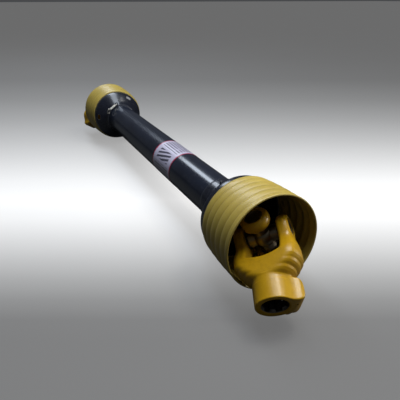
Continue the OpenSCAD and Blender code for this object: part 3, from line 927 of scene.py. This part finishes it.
def build_tubes():
    tubes = (("outer_guard_tube", "front", GUARD_IN), ("inner_guard_tube", "rear", SLIDER_IN))
    for node, end, r_in in tubes:
        low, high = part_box(node)
        centre = JOINTS[end + "_cross_swing"]["pos_m"][0]
        near, far = sorted((abs(low.x - centre) / MM, abs(high.x - centre) / MM))
        loop = ring_outline(near, far, r_in, TUBE_R[end], edge=0.7, step=12)
        piece(node + "_shell", revolve(node + "_form", end, loop, 144), end + "_guard",
              "tube_plastic", [node])


# ---- studio ----
# camera, from the front cross centre in metres, with its turn in degrees
CAMERA_OFFSET = (0.4656, -0.3146, 0.3084)
AZIMUTH = 65.3
ELEVATION = 24.5
LENS = 39.8
SENSOR = 36
# floor, in metres: its half width, and how far below the part it lies
FLOOR_HALF = 60.0
FLOOR_DROP = 0.012
# how bright the floor is to the camera, and how little it throws back onto the part
FLOOR_GLOW = 0.70
FLOOR_BOUNCE = (0.05, 0.05, 0.05)
FLOOR_SELF = (0.30, 0.30, 0.30)
# brightness of the floor against the distance from the picture's middle line
FLOOR_SHADES = [
    (0.0, 0.99), (0.05, 0.87), (0.10, 0.69), (0.15, 0.525), (0.20, 0.384), (0.25, 0.275),
    (0.30, 0.209), (0.35, 0.202),
]


def area_light(name, spot, target, size, power, tone=(1, 1, 1)):
    """Rectangular light of the size and power given, aimed from one place at another."""
    data = bpy.data.lights.new(name, "AREA")
    data.shape = "RECTANGLE"
    data.size, data.size_y = size
    data.energy = power
    data.color = tone
    obj = bpy.data.objects.new(name, data)
    bpy.context.scene.collection.objects.link(obj)
    spot, target = Vector(spot), Vector(target)
    obj.location = spot
    obj.rotation_euler = (target - spot).to_track_quat("-Z", "Y").to_euler()


def view_axes(azimuth, elevation):
    """Right, up and back directions of a camera turned by those angles, in degrees."""
    a, e = math.radians(azimuth), math.radians(elevation)
    back = Vector((math.sin(a) * math.cos(e), -math.cos(a) * math.cos(e), math.sin(e)))
    right = Vector((math.cos(a), math.sin(a), 0))
    return right, back.cross(right), back


def build_camera(front, right, up, back):
    camera = bpy.data.cameras.new("camera")
    camera.lens, camera.sensor_width, camera.clip_start = LENS, SENSOR, 0.01
    view = bpy.data.objects.new("camera", camera)
    bpy.context.scene.collection.objects.link(view)
    turn = Matrix((right, up, back)).transposed().to_4x4()
    view.matrix_world = Matrix.Translation(front + Vector(CAMERA_OFFSET)) @ turn
    bpy.context.scene.camera = view


def floor_finish():
    """Floor that glows for the camera in bands across the picture, and is dark to other rays."""
    f = Finish("floor")
    window = f.new("ShaderNodeSeparateXYZ")
    f.link(f.new("ShaderNodeTexCoord").outputs["Window"], window.inputs["Vector"])
    shade = f.math("ABSOLUTE", f.math("SUBTRACT", window.outputs[1], 0.5))
    pale = f.ramp(shade, FLOOR_SHADES, False)
    speckle = f.span(f.noise(3, 4), 0.98, 1.0)
    pale = f.mix(1.0, pale, speckle, "MULTIPLY")
    ray = f.new("ShaderNodeLightPath").outputs["Is Camera Ray"]
    f.colour(f.mix(ray, FLOOR_BOUNCE, f.mix(1.0, pale, FLOOR_SELF, "MULTIPLY")))
    f.link(f.mix(ray, (0, 0, 0), pale), f.shader.inputs["Emission Color"])
    f.set("Emission Strength", FLOOR_GLOW)
    f.set("Roughness", 0.8).set("Specular IOR Level", 0.1)
    return f.mat


def build_floor():
    low = Vector(cad_bounds[0])
    x0, x1 = low.x - FLOOR_HALF, low.x + FLOOR_HALF
    y0, y1, z = -FLOOR_HALF, FLOOR_HALF, low.z - FLOOR_DROP
    corners = [(x0, y0, z), (x1, y0, z), (x1, y1, z), (x0, y1, z)]
    mesh = bpy.data.meshes.new("floor")
    mesh.from_pydata(corners, [], [(0, 1, 2, 3)])
    mesh.materials.append(floor_finish())
    floor = bpy.data.objects.new("floor", mesh)
    bpy.context.scene.collection.objects.link(floor)


def build_lights(front, right, up, back):
    """Dim pale world, a cool strip and box overhead, and two warm lights at the near joint."""
    cool, warm = (0.84, 0.91, 1.0), (1.0, 0.96, 0.88)
    world = bpy.data.worlds.new("studio")
    world.use_nodes = True
    sky = world.node_tree.nodes["Background"]
    sky.inputs["Color"].default_value = (0.90, 0.94, 1.0, 1)
    sky.inputs["Strength"].default_value = 0.07
    bpy.context.scene.world = world
    middle = front + Vector((-0.35, 0, 0))
    strip = middle + Vector((-0.9, 0.0, 1.5))
    area_light("strip", strip, strip - Vector((0, 0, 1)), (3.4, 0.55), 40, cool)
    area_light("softbox", middle + Vector((0.5, 0.8, 1.3)), middle, (0.9, 0.9), 8)
    key = front + right * 0.30 + up * 0.95 + back * 0.30
    area_light("key", key, front, (0.3, 0.3), 5.5, warm)
    edge = front + right * 0.9 + up * 0.1 - back * 0.1
    area_light("edge", edge, front, (0.3, 0.3), 2.5, warm)


def build_studio():
    front = Vector(JOINTS["front_cross_swing"]["pos_m"])
    axes = view_axes(AZIMUTH, ELEVATION)
    build_camera(front, *axes)
    build_floor()
    build_lights(front, *axes)
    bpy.context.scene.view_settings.view_transform = "Standard"


dress_cad_nodes()
build_yokes()
build_springs()
build_guard()
build_tubes()
build_studio()
